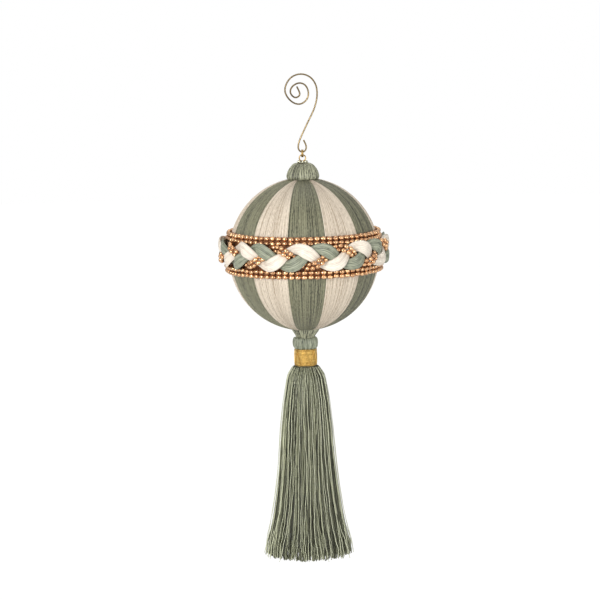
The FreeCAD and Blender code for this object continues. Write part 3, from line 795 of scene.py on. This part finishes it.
def make_materials(finish):
    """Every material of the ornament by name."""
    spun = spun_thread_group()
    metal = wear_and_shade_metal_group()
    ribbon = woven_ribbon_group()

    def thread(name, light, deep, contrast, streak, twist=0.0, fibres=3.0, bump=0.5, sheen=0.04, **more):
        values = {
            "Light": solid(light), "Deep": solid(deep), "Contrast": contrast, "Streak": streak,
            "Twist": twist, "Fibres": fibres,
        }
        more.update(Sheen_Weight=sheen, Sheen_Roughness=0.4)
        return material(name, spun, "map", values, bump, 0.0002, **more)

    def wire(name, bright, worn_and_shaded, wear_and_shade, smooth, size):
        values = {"Bright": solid(bright), "Worn": solid(worn_and_shaded), "Size": size, "Wear and shade": wear_and_shade, "Smooth": smooth}
        return material(name, metal, "object", values, 0.1, 0.0001, Metallic=1.0)

    yarn = {"streak": 0.03, "twist": 0.55, "fibres": 2.0, "bump": 0.6}
    # The inner threads take a darker copy of the tassel colours: painted shade
    shade = tuple(0.75 * c for c in finish.tassel)
    shade_deep = tuple(0.7 * c for c in finish.tassel_deep)
    weave = {"Light": solid(linear(158, 98, 52)), "Deep": solid(linear(84, 46, 18))}
    foam = {
        "Bright": solid(linear(236, 236, 230)), "Worn": solid(linear(214, 214, 206)), "Size": 700.0,
        "Wear and shade": 0.6, "Smooth": 0.7,
    }
    plain = (
        ("silk_green", 1.7, 0.03), ("silk_ivory", 1.2, 0.03),
        ("satin_green", 0.9, 0.08), ("satin_ivory", 0.8, 0.08),
    )
    silks = {
        name: thread(name, getattr(finish, name), getattr(finish, f"{name}_deep"), contrast, streak)
        for name, contrast, streak in plain
    }
    return {
        **silks,
        "silk_knob": thread(
            "silk_green_knob", finish.silk_knob, finish.silk_green_deep, contrast=1.7, streak=0.03
        ),
        "tassel": thread("tassel_thread", finish.tassel, finish.tassel_deep, contrast=1.9, **yarn),
        "tassel_shade": thread("tassel_thread_inside", shade, shade_deep, contrast=1.0, **yarn),
        # The loose threads take a lighter copy of the tassel colours: painted light
        "tassel_light": thread(
            "tassel_thread_loose", finish.tassel_light, finish.tassel, contrast=1.4, **yarn
        ),
        "gold": thread(
            "gold_thread", finish.gold, finish.gold_deep, contrast=0.9, streak=0.6, fibres=1.0, sheen=0.0,
            Metallic=0.7,
        ),
        "copper": bead_material("copper_bead", metal, solid(finish.copper), solid(finish.copper_deep)),
        # The silver beads' dark patch colour is painted shade and painted dark reflection
        "silver": wire(
            "silver_bead", finish.silver, linear(96, 92, 66), wear_and_shade=0.6, smooth=0.18, size=900.0
        ),
        "gilt": wire("gilt_wire", finish.gilt, finish.gilt_deep, wear_and_shade=0.7, smooth=0.28, size=60.0),
        "gold_wire": wire(
            "gold_wire", linear(190, 160, 104), linear(104, 82, 48), wear_and_shade=0.6, smooth=0.28, size=300.0
        ),
        "ribbon": material("belt_ribbon", ribbon, "object", weave, 0.6, 0.0003),
        "foam": material("foam", metal, "object", foam, 0.4, 0.0004),
    }


# Operators, one for each group of pieces


class PieceOperator:
    """What the piece operators share: the settings and the materials, which the first of them makes."""

    bl_options = {"REGISTER", "UNDO"}
    materials = {}

    def finishes(self, scene):
        if not PieceOperator.materials:
            PieceOperator.materials.update(make_materials(scene.ornament_finish))
        return PieceOperator.materials


class ORNAMENT_OT_silk(PieceOperator, bpy.types.Operator):
    """Lay the green and ivory silk stripes on the ball"""

    bl_idname = "ornament.silk"
    bl_label = "Silk stripes"

    def execute(self, context):
        ball = context.scene.ornament_ball
        finishes = self.finishes(context.scene)
        for index in range(ball.stripes):
            shade = "green" if index % 2 == 0 else "ivory"
            node = f"silk_{shade}_{index // 2 + 1}"
            piece = surface(f"threads_{shade}_{index // 2 + 1}", *stripe_grid(ball, index))
            dress(piece, "ornament", f"silk_{shade}", finishes[f"silk_{shade}"], node)
        return {"FINISHED"}


class ORNAMENT_OT_knob(PieceOperator, bpy.types.Operator):
    """Wind the knob on top of the ball and finish its core"""

    bl_idname = "ornament.knob"
    bl_label = "Knob"

    def execute(self, context):
        ball = context.scene.ornament_ball
        finishes = self.finishes(context.scene)
        profile = [
            (0.9, 60.7), (3.4, 60.7), (5.6, 60.2), (7.4, 58.8), (8.7, 57.1), (9.8, 55.1), (10.45, 53.0),
            (10.55, 51.6), (9.9, 50.4), (8.0, 50.2),
        ]
        profile = from_centre(profile, ball, 1)
        grid = dome_grid(
            profile, threads=ball.knob_threads, samples=4, ridge_height=0.26 * MM, rows=44, seed=11,
            lumps=0.22 * MM, lump_count=13,
        )
        piece = surface("knob_threads", *grid)
        dress(piece, "ornament", "silk_green", finishes["silk_knob"], "knob_thread")
        finish_node("knob_core", finishes["foam"])
        return {"FINISHED"}


class ORNAMENT_OT_ribbon(PieceOperator, bpy.types.Operator):
    """Finish the ribbon and lay the four rows of beads on it with their strings"""

    bl_idname = "ornament.bead_rows"
    bl_label = "Ribbon and bead rows"

    def execute(self, context):
        ball, belt = context.scene.ornament_ball, context.scene.ornament_belt
        finishes = self.finishes(context.scene)
        rows = {
            "bead_row_top": belt.outer_row, "bead_row_upper": belt.inner_row,
            "bead_row_lower": -belt.inner_row, "bead_row_bottom": -belt.outer_row,
        }
        strings = []
        for seed, (node, offset) in enumerate(rows.items()):
            rng = np.random.default_rng(70 + seed)
            radius, top, turn = bead_row(belt, ball, offset)
            jitter = rng.normal(0, 0.12 * MM, (2, len(turn)))
            centres = to_space(radius + np.abs(jitter[0]), top + jitter[1], turn)
            out = to_space(1.0, 0.0, turn)
            along = to_space(1.0, 0.0, turn + math.pi / 2)
            lean = rng.normal(0, 0.05, (len(turn), 1))
            up = np.cross(out, along)
            along = along * np.cos(lean) + up * np.sin(lean)
            up = np.cross(out, along)
            sizes = rng.uniform(0.94, 1.0, (2, len(turn)))
            piece = bead_mesh(
                f"beads_{node[9:]}", centres, along, up, out, belt.bead_length * 0.96 * sizes[0],
                belt.bead_width * 1.1 * sizes[1], seed
            )
            dress(piece, "ornament", "copper_bead", finishes["copper"], node)
            ring = to_space(radius, top, TURN * np.arange(240) / 240)
            strings.append(surface(f"string_{node}", *closed_thread(ring, 0.28 * MM), wrap_rows=True))
        dress(join_pieces("bead_strings", strings), "ornament", "ribbon", finishes["ribbon"])
        finish_node("belt_ribbon", finishes["ribbon"])
        return {"FINISHED"}


class ORNAMENT_OT_plait(PieceOperator, bpy.types.Operator):
    """Plait the ivory, green and beaded strands around the ball"""

    bl_idname = "ornament.plait"
    bl_label = "Plait"

    def execute(self, context):
        ball, belt = context.scene.ornament_ball, context.scene.ornament_belt
        finishes = self.finishes(context.scene)
        for third, shade in ((0, "ivory"), (2, "green")):
            grid = strand_grid(belt, ball, TURN * third / 3, 20 + third)
            piece = surface(f"strand_{shade}", *grid, wrap_rows=True)
            dress(piece, "ornament", f"satin_{shade}", finishes[f"satin_{shade}"], f"braid_{shade}")
        self.beads(ball, belt, finishes)
        return {"FINISHED"}

    @staticmethod
    def beads(ball, belt, finishes):
        """Two strings side by side, each with its beads at even steps of its length."""
        phase = TURN / 3
        turn = np.linspace(0, TURN, 6001)
        parts, strings = [], []
        for side in (-0.5, 0.5):
            centre, along, across, out, over = strand_frames(belt, ball, phase, turn)
            width = belt.plait_bead_width * (1 - belt.plait_squeeze * (1 - over))
            path = centre + across * (side * (width + belt.gap))[:, None]
            length = np.concatenate([[0], np.linalg.norm(np.diff(path, axis=0), axis=1).cumsum()])
            count = int(length[-1] / (belt.plait_bead_length + belt.gap))
            spot = np.searchsorted(length, length[-1] * np.arange(count) / count)
            parts.append([item[spot] for item in (path, along, across, out, width)])
            ring = path[:-1:12]
            strings.append(surface("string", *closed_thread(ring, 0.3 * MM), wrap_rows=True))
        centres, along, across, out, width = (np.concatenate(items) for items in zip(*parts))
        rng = np.random.default_rng(9)
        centres = centres + out * np.abs(rng.normal(0, 0.14 * MM, (len(centres), 1)))
        width = width * rng.uniform(1.04, 1.12, len(centres))
        piece = bead_mesh("beads_plait", centres, along, across, out, belt.plait_bead_length, width, 8)
        dress(piece, "ornament", "copper_bead", finishes["copper"], "braid_beads")
        dress(join_pieces("plait_strings", strings), "ornament", "ribbon", finishes["ribbon"])


class ORNAMENT_OT_neck(PieceOperator, bpy.types.Operator):
    """Gather the neck, roll the collar and wind the gold thread above the tassel"""

    bl_idname = "ornament.neck"
    bl_label = "Neck, collar and binding"

    def execute(self, context):
        ball = context.scene.ornament_ball
        finishes = self.finishes(context.scene)
        neck = [(7.0, 49.9), (9.5, 49.3), (8.55, 51.4), (7.15, 53.4), (6.2, 55.0), (5.9, 56.2), (5.0, 56.3)]
        grid = dome_grid(
            from_centre(neck, ball, -1), threads=46, samples=4, ridge_height=0.22 * MM, rows=26, seed=31,
            lumps=0.35 * MM, lump_count=5,
        )
        piece = surface("neck_threads", *grid)
        dress(piece, "ornament", "silk_green", finishes["silk_knob"], "neck_thread")
        collar = [
            (5.8, 57.0), (6.8, 56.2), (7.5, 56.8), (7.85, 58.2), (7.9, 59.8), (7.75, 61.4), (7.3, 62.7),
            (6.6, 63.3), (6.1, 63.2),
        ]
        grid = dome_grid(
            from_centre(collar, ball, -1), threads=54, samples=4, ridge_height=0.3 * MM, rows=30, seed=32,
            lumps=0.5 * MM, lump_count=11,
        )
        piece = surface("collar_roll", *grid)
        dress(piece, "ornament", "satin_green", finishes["satin_green"], "tassel_collar")
        top, foot = ball.centre - 63.5 * MM, ball.centre - 74.7 * MM
        grid = winding_grid(
            radius=7.3 * MM, top=top, foot=foot, turns=15, depth=0.28 * MM, inner=6.2 * MM, seed=33
        )
        piece = surface("gold_winding", *grid, wrap_rows=True)
        dress(piece, "ornament", "gold_thread", finishes["gold"], "gold_binding")
        self.slant(finishes, top, foot)
        finish_node("tassel_head", finishes["tassel_shade"])
        finish_node("pin_stop", finishes["gold_wire"])
        return {"FINISHED"}

    @staticmethod
    def slant(finishes, top, foot):
        """Cords that zigzag across the winding: from one corner to the next a cord's turn and height change
        together at an even rate. A rim of cord lies on each edge of the winding, at height h + d sin(5 a +
        s)."""
        crossings, inset, corner_gap = 7, 0.9 * MM, 0.03
        t = np.linspace(0, 1, 14)
        paths = []
        for index in range(2 * crossings):
            high, low = top - inset, foot + inset
            if index % 2:
                high, low = low, high
            turn = math.pi / crossings * (index + corner_gap + (1 - 2 * corner_gap) * t)
            paths.append(to_space(7.42 * MM, high + (low - high) * t, turn))
        paths = np.array(paths)
        radii = np.full(paths.shape[:2], 0.3 * MM)
        piece = thread_bundle("gold_slants", paths, radii, 6, 34)
        dress(piece, "ornament", "gold_thread", finishes["gold"], "gold_stitches")
        rims = []
        for height, seed in ((top - 0.4 * MM, 1), (foot + 0.4 * MM, 2)):
            turn = TURN * np.arange(96) / 96
            ring = to_space(7.25 * MM, height + 0.12 * MM * np.sin(5 * turn + seed), turn)
            rims.append(surface("rim", *closed_thread(ring, 0.36 * MM), wrap_rows=True))
        dress(join_pieces("gold_rims", rims), "ornament", "gold_thread", finishes["gold"], "gold_binding")


class ORNAMENT_OT_tassel(PieceOperator, bpy.types.Operator):
    """Hang the tassel's threads in layers over a dense core, with a few loose ones outside"""

    bl_idname = "ornament.tassel"
    bl_label = "Tassel"

    def execute(self, context):
        ball, tassel = context.scene.ornament_ball, context.scene.ornament_tassel
        finishes = self.finishes(context.scene)
        layers = [
            ("outer", tassel.outer_threads, 64, 0.93, 1.01, "tassel", 1.0, 1.0, "tassel_locks"),
            ("middle", tassel.middle_threads, 54, 0.84, 0.95, "tassel", 0.5, 1.0, "tassel_locks"),
            ("strays", tassel.stray_threads, 64, 0.99, 1.08, "tassel_light", 2.0, 0.6, "tassel_locks"),
            ("inside", tassel.inner_threads, 30, 0.72, 0.86, "tassel_shade", 0.0, 1.0, "tassel_inner"),
            ("core", tassel.core_threads, 14, 0.08, 0.72, "tassel_shade", 0.0, 1.5, "tassel_inner"),
        ]
        for seed, (name, count, steps, low, high, finish, loose, thick, node) in enumerate(layers):
            stray = tassel.stray * loose
            paths, radii = skirt_threads(ball, count, steps, low, high, tassel.thread, 90 + seed, stray)
            piece = thread_bundle(f"tassel_{name}", paths, radii * thick, 3, 60 + seed)
            dress(piece, "ornament", "tassel_thread", finishes[finish], node)
        self.filling(ball, finishes)
        return {"FINISHED"}

    @staticmethod
    def filling(ball, finishes):
        """Dense inside of the tassel: the skirt's silhouette at 0.72 of its radius, folded into 60
        threads."""
        profile = skirt_profile()
        profile = np.concatenate([profile[:1] * [0.2, 1.0], profile * [0.72, 1.0]])
        profile[1:, 1] -= np.linspace(0, 5.0 * MM, len(profile) - 1)
        profile = np.vstack([profile, [2.0 * MM, profile[-1, 1] - 2.0 * MM]])
        profile[:, 1] = ball.centre - profile[:, 1]
        grid = dome_grid(profile, threads=60, samples=3, ridge_height=0.6 * MM, rows=60, seed=77)
        piece = surface("tassel_filling", *grid)
        dress(piece, "ornament", "tassel_thread", finishes["tassel_shade"], "tassel_inner")


class ORNAMENT_OT_metal(PieceOperator, bpy.types.Operator):
    """Gild the hook, the link and the eye, and finish the beads on the knob and the ball's core"""

    bl_idname = "ornament.metal"
    bl_label = "Hook and eye"

    def execute(self, context):
        finishes = self.finishes(context.scene)
        finish_node("wire_hook", finishes["gilt"])
        finish_node("link_ring", finishes["gold_wire"])
        finish_node("eye_pin", finishes["gold_wire"])
        finish_node("cap_beads", finishes["silver"])
        finish_node("foam_core", finishes["foam"])
        return {"FINISHED"}


def seen_by_camera(work):
    """1 on rays that the camera sends out, also through glass, and 0 on the rest."""
    rays = work.node("ShaderNodeLightPath")
    return work.sums("MAXIMUM", rays.outputs["Is Camera Ray"], rays.outputs["Is Transmission Ray"])


class ORNAMENT_OT_stage(bpy.types.Operator):
    """Set the pale floor, the soft lights, the world and the camera"""

    bl_idname = "ornament.stage"
    bl_label = "Stage"

    def execute(self, context):
        stage = context.scene.ornament_stage
        self.floor(stage)
        self.world(context.scene, stage)
        self.light("key_light", (-0.7, -1.35, 0.25), 0.6, stage.key_power)
        self.light("fill_light", (1.1, -1.0, -0.25), 0.9, stage.fill_power)
        self.light("top_light", (0.1, 0.35, 1.3), 0.8, stage.top_power)
        self.camera(context.scene, stage)
        context.scene.view_settings.view_transform = "Standard"
        return {"FINISHED"}

    @staticmethod
    def white_for_camera(work, shader):
        """The shader for light, and mostly white where the camera sees it: the rest keeps the shadow."""
        white = work.node("ShaderNodeEmission", {"Color": (1, 1, 1, 1), "Strength": 1.06})
        mixed = work.node("ShaderNodeMixShader", {0: work.sums("MULTIPLY", seen_by_camera(work), 0.93)})
        work.tree.links.new(shader, mixed.inputs[1])
        work.tree.links.new(white.outputs[0], mixed.inputs[2])
        return mixed.outputs[0]

    def floor(self, stage):
        """A flat round floor: rings of a disc of radius 3 m."""
        turn = TURN * np.arange(64) / 64
        radius = np.linspace(0.05, 3.0, 12)[:, None]
        top = to_space(radius, stage.floor_height, turn[None])
        below = to_space(radius[::-1], stage.floor_height - 0.01, turn[None])
        grid = np.concatenate([top, below])
        piece = surface("floor", grid, np.arange(65) / 65, np.arange(len(grid)) / len(grid))
        made = bpy.data.materials.new("floor")
        made.use_nodes = True
        work = Shading(made.node_tree)
        shader = next(n for n in made.node_tree.nodes if n.type == "BSDF_PRINCIPLED")
        work.set(shader, "Base Color", (0.86, 0.86, 0.85, 1))
        work.set(shader, "Roughness", 0.85)
        out = next(n for n in made.node_tree.nodes if n.type == "OUTPUT_MATERIAL")
        work.tree.links.new(self.white_for_camera(work, shader.outputs[0]), out.inputs[0])
        piece.data.materials.append(made)

    @staticmethod
    def world(scene, stage):
        """Room light that grows brighter with height. The camera sees it as white."""
        world = bpy.data.worlds.new("room")
        scene.world = world
        world.use_nodes = True
        world.node_tree.nodes.clear()
        work = Shading(world.node_tree)
        height = work.node("ShaderNodeSeparateXYZ", {0: work.node("ShaderNodeTexCoord").outputs["Generated"]})
        room = work.stretch(height.outputs[2], -0.3, 0.9, stage.room_light * 0.6, stage.room_light * 1.3)
        strength = work.sums("MAXIMUM", room, seen_by_camera(work))
        room = work.node("ShaderNodeBackground", {"Color": (1, 1, 1, 1), "Strength": strength})
        out = work.node("ShaderNodeOutputWorld")
        work.tree.links.new(room.outputs[0], out.inputs[0])

    @staticmethod
    def light(name, place, size, power):
        lamp = bpy.data.lights.new(name, "AREA")
        lamp.shape = "DISK"
        lamp.size = size
        lamp.energy = power
        made = bpy.data.objects.new(name, lamp)
        aim = Vector((0, 0, -0.14)) - Vector(place)
        made.matrix_world = Matrix.Translation(place) @ aim.to_track_quat("-Z", "Y").to_matrix().to_4x4()
        bpy.context.scene.collection.objects.link(made)

    @staticmethod
    def camera(scene, stage):
        """A long lens at the photograph's height. The ball's centre lies at ball_at in the picture's
        pixels."""
        pixels, ball_at = 600, (304, 254)
        rise, roll = stage.camera_height, stage.camera_roll
        back = Vector((0, -math.cos(rise), math.sin(rise)))
        level_up = Vector((0, math.sin(rise), math.cos(rise)))
        level_right = Vector((1, 0, 0))
        up = level_up * math.cos(roll) + level_right * math.sin(roll)
        right = level_right * math.cos(roll) - level_up * math.sin(roll)
        pixel = stage.picture_width / pixels
        ball = Vector((0, 0, scene.ornament_ball.centre))
        target = ball - right * (ball_at[0] - pixels // 2) * pixel - up * (pixels // 2 - ball_at[1]) * pixel
        lens = bpy.data.cameras.new("camera")
        lens.sensor_width = 36.0
        lens.lens = 36.0 * stage.camera_distance / stage.picture_width
        lens.clip_start, lens.clip_end = 0.05, 50.0
        made = bpy.data.objects.new("camera", lens)
        turn = Matrix((right, up, back)).transposed().to_4x4()
        made.matrix_world = Matrix.Translation(target + back * stage.camera_distance) @ turn
        scene.collection.objects.link(made)
        scene.camera = made


class ORNAMENT_PT_panel(bpy.types.Panel):
    bl_idname = "ORNAMENT_PT_panel"
    bl_label = "Ornament"
    bl_space_type = "VIEW_3D"
    bl_region_type = "UI"
    bl_category = "Ornament"

    def draw(self, context):
        for name in settings:
            owner = getattr(context.scene, name)
            box = self.layout.box()
            for item in owner.bl_rna.properties:
                if not item.is_readonly and item.identifier != "name":
                    box.prop(owner, item.identifier)
        for operator in operators:
            self.layout.operator(operator.bl_idname)


settings = {
    "ornament_ball": BallSettings,
    "ornament_belt": BeltSettings,
    "ornament_tassel": TasselSettings,
    "ornament_finish": FinishSettings,
    "ornament_stage": StageSettings,
}

operators = (
    ORNAMENT_OT_stage, ORNAMENT_OT_silk, ORNAMENT_OT_knob, ORNAMENT_OT_ribbon, ORNAMENT_OT_plait,
    ORNAMENT_OT_neck, ORNAMENT_OT_tassel, ORNAMENT_OT_metal,
)


def register():
    for made in (*settings.values(), *operators, ORNAMENT_PT_panel):
        bpy.utils.register_class(made)
    for name, group in settings.items():
        setattr(bpy.types.Scene, name, PointerProperty(type=group))


def unregister():
    for name in settings:
        delattr(bpy.types.Scene, name)
    for made in reversed((*settings.values(), *operators, ORNAMENT_PT_panel)):
        bpy.utils.unregister_class(made)


def main():
    register()
    for operator in operators:
        space, call = operator.bl_idname.split(".")
        getattr(getattr(bpy.ops, space), call)()


if __name__ == "__main__":
    main()
